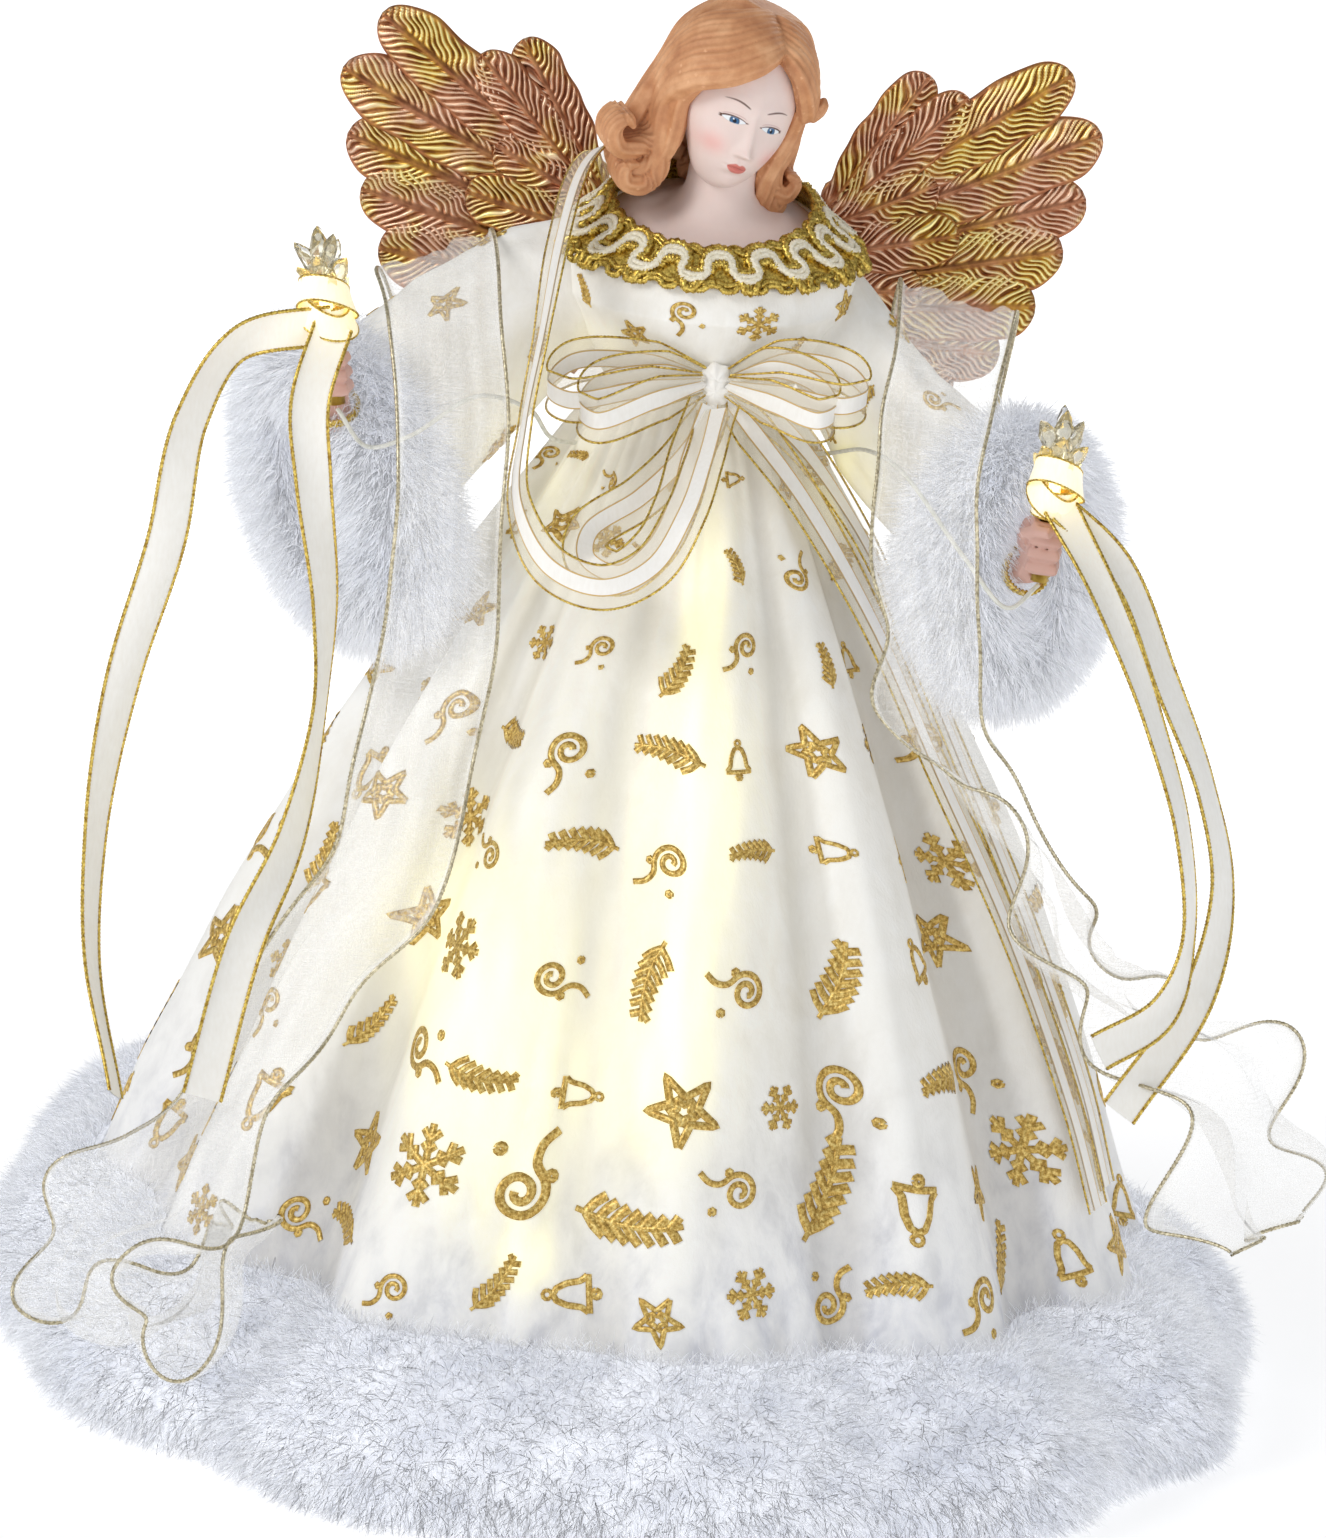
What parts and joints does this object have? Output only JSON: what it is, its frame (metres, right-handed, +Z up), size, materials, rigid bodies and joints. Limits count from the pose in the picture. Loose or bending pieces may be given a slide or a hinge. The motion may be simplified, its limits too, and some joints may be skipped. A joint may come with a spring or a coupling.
{
  "type": "lighted angel figurine",
  "caption": "Standing angel figure with a full gown, fur-trimmed hem and sleeves, wings, two lighted candles and a cone stand that holds the battery box.",
  "frame": {"origin": "middle of the footprint at the bottom, on the table", "axes": "+Z up through the head, -Y the way the figure faces, +X towards the figure's own left hand"},
  "size_m": [0.2958, 0.2902, 0.3069],
  "materials": {
    "velvet": "crushed velvet",
    "fur": "plush pile",
    "porcelain": "painted matt bisque",
    "hair": "painted matt bisque",
    "hand_skin": "painted matt",
    "wing_gold": "gold and copper metallised",
    "gold_trim": "metallic thread",
    "cream_cord": "satin cord",
    "satin_ribbon": "satin with gold edges",
    "bow_ribbon": "sheer with satin stripe and gold thread",
    "organza": "sheer with a corded edge",
    "acrylic": "clear faceted acrylic",
    "lamp": "clear, lit warm white",
    "wire": "insulated",
    "box_plastic": "moulded",
    "cell": "sleeved cell",
    "steel": "plated",
    "cone_board": "pressed board",
    "post_wood": "bare dowel",
    "core_foam": "foam"
  },
  "bodies": {
    "figure": {"cone_body": "cone_board", "neck_post": "post_wood", "torso_core": "core_foam", "head_bust": "porcelain", "hair": "hair", "bodice": "velvet", "skirt": "velvet", "fur_hem": "fur", "arm_wire": "steel", "right_sleeve": "velvet", "right_fur_cuff": "fur", "right_hand": "hand_skin", "right_wing": "wing_gold", "right_wing_screw": "steel", "right_bow_loop": "bow_ribbon", "right_hand_ribbon": "satin_ribbon", "right_drape": "organza", "right_candle_socket": "gold_trim", "right_crystal": "acrylic", "right_candle_led": "lamp", "right_candle_lead": "wire", "right_wrist_cord": "gold_trim", "left_sleeve": "velvet", "left_fur_cuff": "fur", "left_hand": "hand_skin", "left_wing": "wing_gold", "left_wing_screw": "steel", "left_bow_loop": "bow_ribbon", "left_hand_ribbon": "satin_ribbon", "left_drape": "organza", "left_candle_socket": "gold_trim", "left_crystal": "acrylic", "left_candle_led": "lamp", "left_candle_lead": "wire", "left_wrist_cord": "gold_trim", "wing_plate": "box_plastic", "collar_braid": "gold_trim", "collar_cord": "cream_cord", "bow_knot": "bow_ribbon", "bow_hanging_loop": "bow_ribbon", "shoulder_ribbon": "bow_ribbon", "bow_tail_1": "bow_ribbon", "bow_tail_2": "bow_ribbon", "light_wire": "wire", "string_led_1": "lamp", "string_led_2": "lamp", "string_led_3": "lamp", "string_led_4": "lamp", "string_led_5": "lamp", "battery_box": "box_plastic", "battery_1": "cell", "contact_spring_1": "steel", "battery_2": "cell", "contact_spring_2": "steel", "battery_3": "cell", "contact_spring_3": "steel", "contact_plate": "steel"},
    "door": {"battery_door": "box_plastic"},
    "slider": {"switch_slider": "box_plastic"}
  },
  "joints": [
    {"name": "battery_door_hinge", "type": "hinge", "parent": "figure", "child": "door", "pos_m": [-0.0022, 0.0237, 0.0706], "axis": [-1, 0, 0], "range_deg": [0, 95]},
    {"name": "switch_slide", "type": "slide", "parent": "figure", "child": "slider", "axis": [1, 0, 0], "range_m": [0, 0.003]}
  ]
}
